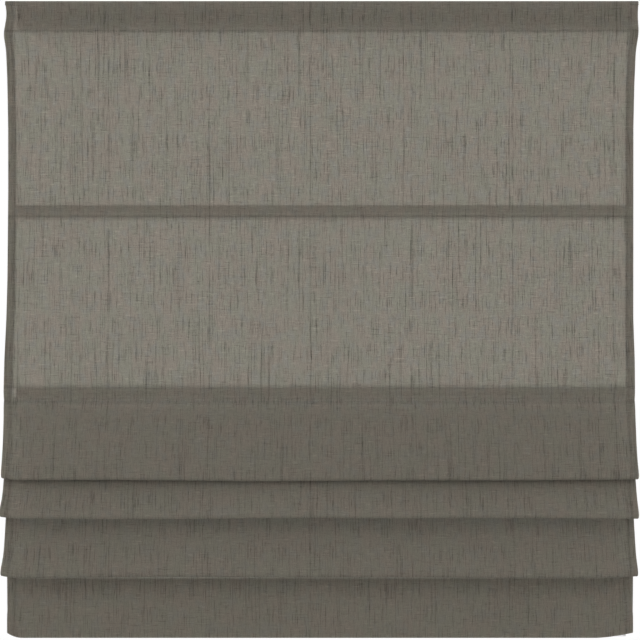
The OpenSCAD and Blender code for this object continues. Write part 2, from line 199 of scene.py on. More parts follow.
class Finish:
    """A material and its tree."""

    def __init__(self, name):
        self.material = bpy.data.materials.new(f"{name}_finish")
        self.material.use_nodes = True
        self.nodes = self.material.node_tree.nodes
        self.links = self.material.node_tree.links
        self.nodes.clear()

    def add(self, kind, settings=None, sockets=None):
        node = self.nodes.new(kind)
        for key, value in (settings or {}).items():
            setattr(node, key, value)
        for key, value in (sockets or {}).items():
            if isinstance(value, Value):
                self.links.new(value.socket, node.inputs[key])
            elif node.inputs[key].type == "VECTOR":
                node.inputs[key].default_value = value[:3]
            else:
                node.inputs[key].default_value = value
        return Node(self, node)

    def stretched(self, place, scale):
        """The place vector, scaled along each axis."""
        return self.add("ShaderNodeMapping", None, {"Vector": place, "Scale": scale}).out()

    def noise(self, place, scale, detail=2.0, roughness=0.5):
        """Noise from 0 to 1, whose grains are 1 / scale metres along each axis."""
        sockets = {"Vector": self.stretched(place, scale), "Scale": 1.0, "Detail": detail}
        sockets["Roughness"] = roughness
        return self.add("ShaderNodeTexNoise", None, sockets).out(0)

    def ramp(self, value, low, high, to_low=0.0, to_high=1.0):
        """value mapped smoothly from low..high to to_low..to_high."""
        sockets = {"Value": value, "From Min": low, "From Max": high, "To Min": to_low, "To Max": to_high}
        return self.add("ShaderNodeMapRange", {"interpolation_type": "SMOOTHSTEP"}, sockets).out()

    def mixed(self, factor, first, second):
        """The colours first and second, mixed."""
        sockets = {0: factor, 6: first, 7: second}
        return self.add("ShaderNodeMix", {"data_type": "RGBA"}, sockets).out(2)

    def tinted(self, colour, value):
        """A colour times a number."""
        sockets = {0: colour, "Scale": value}
        return self.add("ShaderNodeVectorMath", {"operation": "SCALE"}, sockets).out(0)

    def filtered(self, colour, tint):
        """A colour times a constant one, channel by channel."""
        return self.add("ShaderNodeVectorMath", {"operation": "MULTIPLY"}, {0: colour, 1: tint}).out(0)

    def bump(self, height, distance, strength=1.0):
        """A normal from a height in units of distance."""
        sockets = {"Height": height, "Distance": distance, "Strength": strength}
        return self.add("ShaderNodeBump", None, sockets).out()

    def principled(self, **sockets):
        named = {key.replace("_", " "): value for key, value in sockets.items()}
        return self.add("ShaderNodeBsdfPrincipled", None, named).out()

    def finish(self, shader):
        self.add("ShaderNodeOutputMaterial", None, {"Surface": shader})
        return self.material


def rgb(red, green, blue):
    """An opaque colour."""
    return (red, green, blue, 1.0)


print("a finish is built with:", [name for name in vars(Finish) if not name.startswith("_")])

# %% [markdown]
# The cloth is a plain weave of slubby yarn, taupe with threads that lean to red or to green. Its pattern has
# to run along the cloth through every fold, so it reads the cloth's own map, which is laid out in metres.
# Long thin noise makes the warp, short wide noise the weft, and a heavy yarn comes back with each repeat of
# the loom. Part of the light goes through, which is why single cloth glows and doubled cloth looks dark.

# %% The cloth's finish
CLOTH_MAP = "cloth_metres"
GLOW_TINT = (0.99, 1.07, 1.2)
WARP_PITCH = 0.0011
WEFT_PITCH = 0.0012
THREAD_SWAY = 0.00012
CLOTH_RELIEF = 0.0004
MEAN_SHADE = 0.28
# how far the painted shade of seams, creases and the headrail darkens the cloth's colour
PAINTED_SHADE_DEPTH = 0.24
LOOM_REPEAT = 0.1616
# whole repeats are added, so that no place across the cloth is negative
LOOM_START = 0.017 + 40 * LOOM_REPEAT


def thread_wave(f, place, along, sway_scale, pitch):
    """A wave for each thread, which sways a little so that the threads aren't ruled lines."""
    sway = THREAD_SWAY * f.noise(place, sway_scale, 1.0)
    return f.add("ShaderNodeMath", {"operation": "SINE"}, {0: (along + sway) * (2 * math.pi / pitch)}).out()


def woven(name, red, green, blue, glow, contrast):
    """A slubby weave of yarns that lean to red, green and blue; glow is the share of light let through."""
    f = Finish(name)
    place = f.add("ShaderNodeUVMap", {"uv_map": CLOTH_MAP}).out()
    axes = f.add("ShaderNodeSeparateXYZ", None, {"Vector": place})
    across, down = axes.out("X"), axes.out("Y")
    warp = f.ramp(f.noise(place, (620, 24, 1), 2.0, 0.6), 0.52, 0.72)
    long_warp = f.ramp(f.noise(place, (330, 6, 1), 1.0), 0.56, 0.74)
    weft = f.ramp(f.noise(place, (42, 640, 1), 2.0, 0.6), 0.54, 0.74)
    pale_weft = f.ramp(f.noise(place, (60, 520, 7), 1.0), 0.58, 0.76)
    knots = f.ramp(f.noise(place, (420, 300, 3), 1.0, 0.6), 0.66, 0.78)
    fine_warp = f.noise(place, (900, 90, 1), 1.0)
    speckle = f.noise(place, (700, 700, 1), 1.0, 0.7)
    cloud = f.noise(place, (34, 22, 1), 3.0, 0.6)
    tone = f.noise(place, (60, 44, 5), 2.0, 0.5)
    repeat = (across + LOOM_START) * (1 / LOOM_REPEAT)
    phase = f.add("ShaderNodeMath", {"operation": "PINGPONG"}, {0: repeat, 1: 0.5}).out()
    heavy = f.ramp(phase, 0.002, 0.012, 1.0, 0.0) * f.ramp(f.noise(place, (3, 22, 1), 2.0), 0.36, 0.6)
    warp_wave = thread_wave(f, place, across, (20, 160, 2), WARP_PITCH)
    weave = warp_wave * thread_wave(f, place, down, (160, 20, 4), WEFT_PITCH)
    # the attribute read here is painted shade: it darkens the cloth's colour along the side hems, over the
    # headrail and along its lower edge, in the crease under the second pocket and round the third fold's turn
    seam = f.add("ShaderNodeAttribute", {"attribute_name": "seam"}).out("Fac")
    dark = 0.30 * warp + 0.16 * long_warp + 0.20 * weft + 0.22 * knots + 0.16 * heavy
    light = 0.16 * pale_weft + 0.45 * speckle + 0.30 * fine_warp + 0.05 + 0.07 * weave
    shade = 1.0 + contrast * (light - dark - MEAN_SHADE) - PAINTED_SHADE_DEPTH * seam
    yarn = f.mixed(f.ramp(cloud, 0.40, 0.60), red, green)
    yarn = f.mixed(f.ramp(tone, 0.50, 0.66, 0.0, 0.75), yarn, blue)
    colour = f.tinted(yarn, shade)
    height = 0.5 * warp + 0.3 * weft + 0.2 * speckle + 0.2 * fine_warp + 0.25 * weave
    normal = f.bump(height, CLOTH_RELIEF, 0.6)
    face = f.principled(Base_Color=colour, Roughness=f.ramp(speckle, 0.3, 0.7, 0.82, 0.94), Normal=normal)
    face.socket.node.inputs["Specular IOR Level"].default_value = 0.15
    face.socket.node.inputs["Sheen Weight"].default_value = 0.08
    through = f.add("ShaderNodeBsdfTranslucent", None, {"Color": f.filtered(colour, GLOW_TINT)}).out()
    return f.finish(f.add("ShaderNodeMixShader", None, {0: glow, 1: face, 2: through}).out())


cloth_finish = woven("linen", rgb(0.381, 0.337, 0.281), rgb(0.367, 0.343, 0.281), rgb(0.364, 0.341, 0.294),
                     glow=0.71, contrast=1.35)
tape_finish = woven("pocket_tape", rgb(0.40, 0.36, 0.31), rgb(0.38, 0.36, 0.31), rgb(0.38, 0.36, 0.32),
                    glow=0.5, contrast=0.6)
print("woven finishes:", cloth_finish.name, tape_finish.name)

# %% [markdown]
# Cloth hangs in a curve that can be written down. Below the second rod it leaves each pocket forwards, falls,
# turns with a small radius and climbs back to a crease over the next pocket. The level of the turn is found
# by halving, so that each run is exactly as long as it was cut.

# %% The line of the cloth, seen from the side
CLOTH_T = 0.0006
HEM_DEPTH = 0.096
BEND_R = 0.0025
RUN_STEPS, TURN_STEPS, BEND_STEPS = 18, 14, 8
CLIMB_LEAVES, CLIMB_ARRIVES = 0.4, 0.3
HALVINGS = 24
bar_low, bar_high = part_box("bottom_bar")
cloth_y = cloth_front + CLOTH_T / 2
run_length = (pocket_top[1] - pocket_top[2]) - pocket_height
hem_r = (bar_low.y + bar_high.y) / 2 - cloth_y
# for each fold: how far it stands forwards, the radius of its turn, the way it leaves its pocket, and the
# share of its fall that hangs plumb
fold_reach = {1: 0.055, 2: 0.053, 3: 0.043}
turn_r = {1: 0.008, 2: 0.008, 3: 0.006}
fold_start = {1: (-0.018, -0.008), 2: (-0.020, -0.062), 3: (-0.012, -0.068)}
fold_hang = {1: 0.4, 2: 0.2, 3: 0.2}


def bezier(points, steps):
    """Points along a cubic curve, without its first."""
    a, b, c, d = (np.array(p, float) for p in points)
    t = np.linspace(0, 1, steps + 1)[1:, None]
    return list((1 - t) ** 3 * a + 3 * (1 - t) ** 2 * t * b + 3 * (1 - t) * t ** 2 * c + t ** 3 * d)


def arc(centre, radius, start, end, steps):
    """Points along an arc, without its first."""
    angles = np.radians(np.linspace(start, end, steps + 1)[1:])
    return list(np.array(centre) + radius * np.stack([np.cos(angles), np.sin(angles)], 1))


def straight(start, end, steps):
    """Points along a line, without its first."""
    t = np.linspace(0, 1, steps + 1)[1:, None]
    return list(np.array(start) * (1 - t) + np.array(end) * t)


def length_of(points):
    """How long a line of points is."""
    return float(np.linalg.norm(np.diff(np.array(points), axis=0), axis=1).sum())


def fold_line(number, turn_z):
    """One fold, from its pocket's lower edge to the crease over the next pocket."""
    radius = turn_r[number]
    start = np.array([cloth_y, pocket_top[number + 1] - pocket_height])
    front = np.array([cloth_y - fold_reach[number], turn_z + radius])
    rear = front + [2 * radius, 0]
    crease = np.array([cloth_y - 2 * BEND_R, pocket_top[number + 2]])
    fall, climb = start[1] - front[1], crease[1] - rear[1]
    hang = front + [0, fall * fold_hang[number]]
    down = bezier([start, start + fold_start[number], hang, front], RUN_STEPS)
    turn = arc(front + [radius, 0], radius, 180, 360, TURN_STEPS)
    leaves, arrives = rear + [0, climb * CLIMB_LEAVES], crease - [0, climb * CLIMB_ARRIVES]
    up = bezier([rear, leaves, arrives, crease], RUN_STEPS)
    return [start] + down + turn + up + arc(crease + [BEND_R, 0], BEND_R, 180, 0, BEND_STEPS)


def hung_fold(number):
    """The fold whose cloth is as long as it was cut."""
    low = pocket_top[number + 1] - pocket_height - run_length
    high = pocket_top[number + 2] - turn_r[number]
    for _ in range(HALVINGS):
        middle = (low + high) / 2
        if length_of(fold_line(number, middle)) > run_length:
            low = middle
        else:
            high = middle
    return fold_line(number, middle)


folds = {number: hung_fold(number) for number in fold_reach}
turn_levels = {number: min(p[1] for p in line) for number, line in folds.items()}
print("lower edges of the folds:", [round(z, 3) for z in turn_levels.values()])

# %% [markdown]
# The folded stretch is the chain of the three folds and the tail. The tail ends in a deep hem: the cloth
# turns round the bottom bar and climbs back up behind itself. At the top edge the cloth is turned under.

# %% The whole line, in three stretches
TURNED_TOP = 0.0065
TOP_BAND = 0.06
# how many steps each part of the line is cut into
STEPS = {"pocket": 3, "tail": 18, "hem_turn": 12, "past_bar": 4, "hem": 9, "top_turn": 6, "band": 48,
         "upper": 46, "middle": 34}
tail_start = np.array([cloth_y, pocket_top[5] - pocket_height])
turn_centre = np.array([cloth_y + hem_r, bar_low.z])
folded = [np.array([cloth_y, gather_z])]
for number in folds:
    folded += straight(folded[-1], folds[number][0], STEPS["pocket"]) + folds[number][1:]
folded += straight(folded[-1], tail_start, STEPS["pocket"])
folded += straight(tail_start, turn_centre - [hem_r, 0], STEPS["tail"])
folded += arc(turn_centre, hem_r, 180, 360, STEPS["hem_turn"])
folded += straight(folded[-1], [cloth_y + 2 * hem_r, bar_high.z + 2 * hem_r], STEPS["past_bar"])
folded += straight(folded[-1], [cloth_y + 2.4 * CLOTH_T, bottom_z + HEM_DEPTH], STEPS["hem"])
turn_top = top_z - 1.3 * CLOTH_T
upper_line = [np.array([cloth_y + 2 * CLOTH_T, top_z - TURNED_TOP])]
upper_line += straight(upper_line[0], [cloth_y + 2 * CLOTH_T, turn_top], 2)
upper_line += arc([cloth_y + CLOTH_T, turn_top], CLOTH_T, 0, 180, STEPS["top_turn"])
upper_line += straight(upper_line[-1], [cloth_y, top_z - TOP_BAND], STEPS["band"])
upper_line += straight(upper_line[-1], [cloth_y, split_z], STEPS["upper"])
middle_line = [np.array([cloth_y, split_z])]
middle_line += straight(middle_line[0], [cloth_y, gather_z], STEPS["middle"])
stretch_lines = {"upper": upper_line, "middle": middle_line, "folds": folded}

# %% [markdown]
# Each side edge is hemmed twice over: the raw edge is tucked in by 5 mm and the cloth is turned back by
# 12 mm. Seen from above, that is a flat hook at either end of a straight line, and the cloth is this line
# swept down the side view. Beside each hem the columns stand closer, because the cloth moves more there.

# %% The line of the cloth, seen from above
SIDE_HEM = 0.012
TUCK = 0.005
PLY = CLOTH_T * 1.1
RIM = 0.022
RIM_COLUMNS, FIELD_COLUMNS = 16, 112
HOOK_STEPS = {"tuck": 3, "fold": 5, "hem": 4, "edge": 7}


def side_hook():
    """The left-hand hem, from the raw edge to the front ply, as x and depth behind the front ply."""
    inner, outer = -half_width + SIDE_HEM, -half_width
    raw = [np.array([inner - TUCK, PLY])]
    hook = raw + straight(raw[0], [inner - PLY / 2, PLY], HOOK_STEPS["tuck"])
    hook += arc([inner - PLY / 2, PLY * 1.5], PLY / 2, -90, 90, HOOK_STEPS["fold"])
    hook += straight(hook[-1], [outer + PLY, 2 * PLY], HOOK_STEPS["hem"])
    return hook + arc([outer + PLY, PLY], PLY, 90, 270, HOOK_STEPS["edge"])


hook = side_hook()
mirrored = [p * [-1, 1] for p in reversed(hook)]
rim_in = np.array([RIM, 0])
across_line = hook + straight(hook[-1], hook[-1] + rim_in, RIM_COLUMNS)
across_line += straight(across_line[-1], mirrored[0] - rim_in, FIELD_COLUMNS)
across_line += straight(across_line[-1], mirrored[0], RIM_COLUMNS)[:-1] + mirrored
cut_width = length_of(across_line)
print("width as cut:", round(cut_width, 3), "in", len(across_line), "columns")

# %% [markdown]
# Real cloth isn't a ruled surface. Its side edges flare where the headrail and the folds push them out, and
# draw in between. How far is given at a few places down each edge, eased so that no kink shows, with a small
# bell of its own at the turn of each fold.

# %% Where the side edges run
# how far an edge lies beyond the nominal width, in millimetres, at distances down the cloth in metres
LEFT_EDGE = [(0, 5.5), (0.022, 2.6), (0.036, 5.0), (0.053, 8.0), (0.078, 3.8), (0.125, 1.8), (0.2, 0.4),
             (0.3, 0.3), (0.446, 1.6), (0.51, 3.4), (0.574, 6.6), (0.63, 8.0), (0.68, 3.0), (0.72, 1.0)]
RIGHT_EDGE = [(0, 8.0), (0.022, 6.6), (0.05, 8.4), (0.08, 3.6), (0.13, 1.4), (0.2, -0.2), (0.51, -0.4),
              (0.574, 2.0), (0.63, 2.4), (0.68, -1.5), (0.72, -3.0)]
# the same for the left and the right edge, at each fold's turn and at the foot of the tail
FOLD_FLARE = {1: (1.5, 2.2), 2: (4.6, 2.6), 3: (4.4, 2.8)}
TAIL_FLARE = (4.5, 5.5)
TAIL_INSET = 3.5
TAIL_FLARE_RUN = 0.16
TAIL_INSET_RUN = 0.02
FLARE_RISE, FLARE_REACH = 0.006, 0.022
EASING = np.linspace(-0.008, 0.008, 7)
MM = 0.001
down_to_folds = top_z - gather_z
run_starts = [down_to_folds + pocket_height + n * (run_length + pocket_height) for n in range(3)]
tail_down = run_starts[-1] + run_length


def bell(value, centre, width):
    """1 at the centre, falling smoothly to 0 on both sides."""
    return np.exp(-((value - centre) / width) ** 2)


def share_of(value, start, run):
    """0 up to start, 1 from start + run on, and a straight line between."""
    return np.clip((value - start) / run, 0, 1)


def turn_distance(number):
    """How far down a fold its lowest point lies."""
    line = folds[number]
    lowest = int(np.argmin([p[1] for p in line]))
    return length_of(line[:lowest + 1])


length_to_turn = {number: turn_distance(number) for number in folds}


def edge_flare(edge, table, down):
    """How far an edge (0 left, 1 right) lies beyond the nominal one, at a distance down the cloth."""
    places, values = zip(*table)
    flare = sum(np.interp(down + shift, places, values) for shift in EASING) / len(EASING)
    for number, start in enumerate(run_starts, 1):
        turn_at = start + length_to_turn[number]
        flare = flare + FOLD_FLARE[number][edge] * bell(down, turn_at - FLARE_RISE, FLARE_REACH)
    spread = share_of(down, tail_down, TAIL_FLARE_RUN) ** 2
    inset = share_of(down, tail_down - TAIL_INSET_RUN, TAIL_INSET_RUN)
    return (flare - TAIL_INSET * inset + TAIL_FLARE[edge] * spread) * MM


print("turns at", {n: round(v, 3) for n, v in length_to_turn.items()}, "m down each run")

# %% [markdown]
# Between its rods the cloth is slack, so the lower edge of a fold waves up and down a little, and its corners
# lift where the hem is stiff. The flat stretches belly by a fraction of a millimetre, which is enough for the
# light to show that they are cloth and not board.

# %% How the cloth strays from the flat
EDGE_ZONE = 0.36
# where the corners start to lift, how wide they are, and by how many millimetres they lift in each fold
LEFT_CORNER, RIGHT_CORNER = (0.470, 0.030), (0.440, 0.060)
LEFT_LIFT, RIGHT_LIFT = [0, 3.4, 3.0, 4.2], [0, 0.6, 1.0, 2.0]
TAIL_CORNER = (0.476, 0.024)
LEFT_TAIL_LIFT, RIGHT_TAIL_LIFT = 8.0, 8.5
# where the tail's corners start to lift and curl, and over how far
TAIL_LIFT_ZONE, TAIL_CURL_ZONE = (0.03, 0.13), (0.45, 0.05)
DIP, BILLOW, TAIL_CURL, BELLY = 0.9, 0.8, 1.4, 0.35
# where each flat panel starts down the cloth, and how long it is
PANELS = ((0.06, 0.26), (0.35, 0.26))


def slack(down):
    """0 where a rod holds the cloth, up to 1 halfway round a fold, and the fold's number."""
    amount, owner = np.zeros_like(down), np.zeros_like(down)
    for number, start in enumerate(run_starts, 1):
        share = (down - start) / run_length
        inside = (share > 0) & (share < 1)
        amount = np.where(inside, np.sin(np.pi * np.clip(share, 0, 1)), amount)
        owner = np.where(inside, number, owner)
    return amount, owner


def stray(x, down):
    """Small moves in x, y and z of points at x across and down the cloth, as waves that never line up."""
    near_edge = np.clip((np.abs(x) - EDGE_ZONE) / (half_width - EDGE_ZONE), 0, 1.02) ** 1.6
    flare = np.where(x < 0, edge_flare(0, LEFT_EDGE, down), edge_flare(1, RIGHT_EDGE, down))
    dx = np.sign(x) * near_edge * flare
    amount, owner = slack(down)
    fold = owner.astype(int)
    wave = np.sin(7.1 * x + 1.9 * owner) + 0.6 * np.sin(15.3 * x + 2.7 * owner + 0.4)
    left_corner = share_of(-x, *LEFT_CORNER) ** 2
    right_corner = share_of(x, *RIGHT_CORNER) ** 1.6
    in_tail = share_of(down - tail_down, *TAIL_LIFT_ZONE) ** 2
    dz = -DIP * MM * amount * wave
    dz = dz + amount ** 2 * MM * (np.choose(fold, LEFT_LIFT) * left_corner)
    dz = dz + amount ** 2 * MM * (np.choose(fold, RIGHT_LIFT) * right_corner)
    tail_lift = LEFT_TAIL_LIFT * share_of(-x, *TAIL_CORNER) ** 2 + RIGHT_TAIL_LIFT * right_corner
    dz = dz + in_tail * MM * tail_lift
    dy = BILLOW * MM * amount * (np.sin(9.7 * x + 2.3 * owner) + 0.5 * np.sin(23.0 * x + owner))
    dy = dy - TAIL_CURL * MM * in_tail * share_of(np.abs(x), *TAIL_CURL_ZONE) ** 2
    panel = sum(np.sin(np.pi * share_of(down, *panel)) for panel in PANELS)
    dy = dy + BELLY * MM * panel * (np.sin(5.2 * x + 0.7) + 0.5 * np.sin(13.0 * x))
    return dx, dy, dz


print("a fold's lower edge waves by", DIP, "mm and the flat stretches belly by", BELLY, "mm")

# %% [markdown]
# A ply of cloth is made as a closed skin: a grid of points on its middle surface, pushed out by half the
# thickness to both sides, and closed along its four edges. The map in metres goes with the grid.


# %% A closed ply from a grid of points
def mapped_mesh(name, points, faces, map_of):
    """A smooth mesh with the cloth's map; map_of gives the places on the map of some vertices."""
    mesh = bpy.data.meshes.new(name)
    mesh.from_pydata(points.tolist(), [], faces)
    corner = np.zeros(len(mesh.loops), int)
    mesh.loops.foreach_get("vertex_index", corner)
    mesh.uv_layers.new(name=CLOTH_MAP).data.foreach_set("uv", map_of(corner).ravel())
    mesh.shade_smooth()
    return mesh


def ply(name, grid, thickness, across, down, seam=None):
    """A closed sheet round the middle surface grid[row][column], with its map in metres."""
    rows, columns = grid.shape[:2]
    along_rows = np.gradient(grid, axis=0)
    along_columns = np.gradient(grid, axis=1)
    normal = np.cross(along_columns, along_rows)
    normal /= np.linalg.norm(normal, axis=2)[..., None]
    skins = [grid + normal * thickness / 2, grid - normal * thickness / 2]
    points = np.concatenate([s.reshape(-1, 3) for s in skins])
    index = np.arange(rows * columns).reshape(rows, columns)
    back = index + rows * columns
    a, b, c, d = index[:-1, :-1], index[:-1, 1:], index[1:, 1:], index[1:, :-1]
    quads = [np.stack([a, d, c, b], 2).reshape(-1, 4)]
    a, b, c, d = back[:-1, :-1], back[:-1, 1:], back[1:, 1:], back[1:, :-1]
    quads.append(np.stack([a, b, c, d], 2).reshape(-1, 4))
    for front_edge, back_edge in ((index[0], back[0]), (index[::-1, 0], back[::-1, 0]),
                                  (index[-1, ::-1], back[-1, ::-1]), (index[:, -1], back[:, -1])):
        quads.append(np.stack([front_edge[:-1], front_edge[1:], back_edge[1:], back_edge[:-1]], 1))
    faces = np.concatenate(quads)[:, ::-1]

    def map_of(corner):
        where = corner % (rows * columns)
        return np.stack([across[where % columns], -down[where // columns]], 1)

    mesh = mapped_mesh(name, points, faces.tolist(), map_of)
    # the painted shade of seams, creases and the headrail is kept on the points for the cloth's finish
    if seam is not None:
        attribute = mesh.attributes.new("seam", "FLOAT", "POINT")
        attribute.data.foreach_set("value", np.tile(seam.ravel(), 2).astype(np.float32))
    return linked(name, mesh)


def distances(line):
    """The distance along a line to each of its points."""
    steps = np.linalg.norm(np.diff(np.array(line), axis=0), axis=1)
    return np.concatenate([[0], np.cumsum(steps)])


print("a ply keeps its map as", CLOTH_MAP)

# %% [markdown]
# The three stretches are one cloth, cut only where the lift has to move them apart: the top stays with the
# headrail, the stretch between the first two rods shortens, and the folded stretch rides on the stack.

# %% Sweep the three stretches of cloth
STITCH_IN = 0.0100
# where painted shade runs down beside each side hem's stitching: how far in, how wide, and how strong
SIDE_SHADE_IN, SIDE_SHADE_W, SIDE_SHADE_SHARE = STITCH_IN + 0.0006, 0.0024, 0.8
sections = np.array(across_line)
columns_across = distances(across_line) - cut_width / 2
stretch_down = {"upper": -distances(upper_line)[-1] + down_to_folds - (split_z - gather_z),
                "middle": top_z - split_z, "folds": down_to_folds}


def cloth_grid(name, offset=0.0):
    """A stretch's middle surface, moved back by offset, and how far down the cloth each of its rows lies."""
    line = np.array(stretch_lines[name])
    down = distances(line) + stretch_down[name]
    way = np.gradient(line, axis=0)
    way /= np.linalg.norm(way, axis=1)[:, None]
    behind = np.stack([-way[:, 1], way[:, 0]], 1)
    grid = np.zeros((len(line), len(sections), 3))
    depth = sections[:, 1] + offset
    grid[..., 0] = sections[:, 0]
    grid[..., 1:] = line[:, None, :] + behind[:, None, :] * depth[None, :, None]
    dx, dy, dz = stray(grid[..., 0], np.broadcast_to(down[:, None], grid.shape[:2]))
    grid += np.stack([dx, dy, dz], 2)
    return grid, down


# where painted shade darkens the cloth across: distance down, width and strength. It lies over the headrail,
# along its lower edge, in the crease under the second pocket, round the third fold's turn, and as a thin
# darker line at the foot of the upper stretch
PAINTED_SHADE_DOWN = [(0.024, 0.020, 0.4), (0.0478, 0.0026, 1.0), (down_to_folds + pocket_height + 0.004, 0.006, 1.0),
              (-split_z - 0.002, 0.002, 0.25), (run_starts[2] + length_to_turn[3], 0.007, 0.8)]
cloth = {}
for name in stretch_lines:
    grid, down = cloth_grid(name)
    # painted shade in a band beside the stitching of each side hem
    seam_across = SIDE_SHADE_SHARE * bell(np.abs(sections[:, 0]), half_width - SIDE_SHADE_IN, SIDE_SHADE_W)
    seam_down = sum(share * bell(down, at, wide) for at, wide, share in PAINTED_SHADE_DOWN)
    seam = np.maximum(seam_across[None, :], seam_down[:, None])
    cloth[name] = ply(f"cloth_{name}", grid, CLOTH_T, columns_across, down, seam)
    cloth[name].data.materials.append(cloth_finish)
    print(cloth[name].name, len(cloth[name].data.polygons), "faces")

# %% Give the cloth its bodies
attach(cloth["upper"], "headrail_frame")
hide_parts("fabric_upper")
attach(cloth["middle"], "headrail_frame")
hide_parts("fabric_middle")
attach(cloth["folds"], "blind_stack")
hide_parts("fabric_folds")
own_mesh(cloth["middle"])

# %% [markdown]
# A rod pocket is a woven tape on the cloth's back. Its flat header is sewn down from side to side, and its
# lower part is a tube that stops short of the edges, where the capped ends of the rod come out. Both are made
# with the same ply as the cloth, and small waves show where the needle has gathered the tape.

# %% Rod pockets
TAPE_T = 0.0005
TAPE_GATHER = 0.00008
TAPE_GAP = 0.0008
FOLDED_EDGE = 0.0004
HEADER_TOP, HEADER_FOOT = -0.0003, -0.0128
tape_columns = np.linspace(-1, 1, 161)


def tape_grid(section, half, top, ripple):
    """A section of (depth behind the cloth, height) swept from -half to half, and its columns and rows."""
    line = np.array(section)
    x = tape_columns * half
    grid = np.zeros((len(line), len(x), 3))
    wave = ripple * (np.sin(x * 410) + 0.6 * np.sin(x * 173 + 1.0))
    grid[..., 0] = x[None, :]
    grid[..., 1] = cloth_back + line[:, :1] + wave[None, :] * (line[:, :1] > 0.001)
    grid[..., 2] = top + line[:, 1:]
    return grid, x, distances(line)


def pocket_tape(number):
    """The header and the tube of one pocket, as one piece."""
    top = pocket_top[number]
    rod_low, rod_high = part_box(f"rod_{number}")
    rod_centre = np.array([(rod_low.y + rod_high.y) / 2 - cloth_back, (rod_low.z + rod_high.z) / 2 - top])
    tube_r = rod_centre[0] - TAPE_T / 2
    header = [np.array([TAPE_T / 2, HEADER_TOP])]
    header += straight(header[0], [TAPE_T / 2, HEADER_FOOT], 5)
    tube = [rod_centre - [tube_r, 0]] + arc(rod_centre, tube_r, 180, -165, 24)
    foot = [np.array([TAPE_T / 2, rod_centre[1] - tube_r - FOLDED_EDGE / 2])]
    foot += straight(foot[0], [TAPE_T / 2, FOLDED_EDGE - pocket_height], 2)
    parts = []
    for label, section, half, ripple in (("header", header, half_width - SIDE_HEM - TAPE_GAP, 0.0),
                                         ("tube", tube, pocket_half, TAPE_GATHER),
                                         ("foot", foot, pocket_half, 0.0)):
        grid, x, down = tape_grid(section, half, top, ripple)
        # each tape is cut from another place along the roll
        parts.append(ply(f"{label}_{number}", grid, TAPE_T, x, down + number * 0.3))
    return joined(f"pocket_tape_{number}", parts)


def joined(name, parts):
    """Several pieces as one."""
    with bpy.context.temp_override(active_object=parts[0], selected_editable_objects=parts):
        bpy.ops.object.join()
    parts[0].name = name
    parts[0].data.name = name
    return parts[0]


def body_of_level(number):
    """The body that carries what is fixed at a rod's level."""
    return "headrail_frame" if number == 1 else "blind_stack"


# the tape in a pocket, from its header's edge, round the rod and down to its foot, in pocket heights
for number in POCKETS:
    tape = pocket_tape(number)
    tape.data.materials.append(tape_finish)
    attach(tape, body_of_level(number))
    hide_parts(f"rod_pocket_{number}")
    cloth["upper"] if number == 1 else cloth["folds"]
print("five pocket tapes,", len(tape.data.polygons), "faces each")

# %% [markdown]
# Stitches are the same small thing hundreds of times over, set along a line at an even pitch, so a geometry
# node tree makes them: it puts a point every few millimetres on a curve and a spindle of thread on each.

# %% Sewing thread
def thread_finish(name, colour):
    """Twisted sewing thread."""
    f = Finish(name)
    place = f.add("ShaderNodeTexCoord").out("Object")
    strand = f.noise(place, (1500, 1500, 2600), 1.0)
    shade = 0.75 + 0.5 * strand
    base = f.tinted(colour, shade)
    return f.finish(f.principled(Base_Color=base, Roughness=f.ramp(strand, 0.3, 0.7, 0.7, 0.85),
                                 Normal=f.bump(strand, 0.0002)))


THREAD_W = 0.00042
sewing_thread = thread_finish("sewing_thread", rgb(0.30, 0.27, 0.23))
print("sewing thread", THREAD_W, "m thick")


# %% A tree that sews along curves
STITCH_PITCH = 0.0036
STITCH_LENGTH = 0.0024


def sewing_tree():
    """Stitches along every spline of a curve; the inputs are the pitch, the stitch's length and its width."""
    tree = bpy.data.node_groups.new("sewing", "GeometryNodeTree")
    face = tree.interface
    face.new_socket("Geometry", in_out="INPUT", socket_type="NodeSocketGeometry")
    for label, size in (("Pitch", STITCH_PITCH), ("Length", STITCH_LENGTH), ("Width", THREAD_W)):
        face.new_socket(label, in_out="INPUT", socket_type="NodeSocketFloat").default_value = size
    face.new_socket("Thread", in_out="INPUT", socket_type="NodeSocketMaterial")
    face.new_socket("Geometry", in_out="OUTPUT", socket_type="NodeSocketGeometry")

    def add(kind, settings=None, **sockets):
        node = tree.nodes.new(kind)
        for key, value in (settings or {}).items():
            setattr(node, key, value)
        for key, value in sockets.items():
            target = node.inputs[key.replace("_", " ")]
            if isinstance(value, bpy.types.NodeSocket):
                tree.links.new(value, target)
            else:
                target.default_value = value
        return node

    given = add("NodeGroupInput").outputs
    points = add("GeometryNodeCurveToPoints", {"mode": "LENGTH"}, Curve=given["Geometry"],
                 Length=given["Pitch"])
    spindle = add("GeometryNodeMeshUVSphere", None, Segments=6, Rings=4, Radius=0.5)
    size = add("ShaderNodeCombineXYZ", None, X=given["Width"], Y=given["Width"], Z=given["Length"])
    stitch = add("GeometryNodeTransform", None, Geometry=spindle.outputs["Mesh"], Scale=size.outputs[0])
    placed = add("GeometryNodeInstanceOnPoints", None, Points=points.outputs["Points"],
                 Instance=stitch.outputs[0], Rotation=points.outputs["Rotation"])
    real = add("GeometryNodeRealizeInstances", None, Geometry=placed.outputs[0])
    round_off = add("GeometryNodeSetShadeSmooth", None, Geometry=real.outputs[0])
    set_thread = add("GeometryNodeSetMaterial", None, Geometry=round_off.outputs[0], Material=given["Thread"])
    add("NodeGroupOutput", None, Geometry=set_thread.outputs[0])
    return tree


sewing = sewing_tree()
print("the sewing tree has", len(sewing.nodes), "nodes")


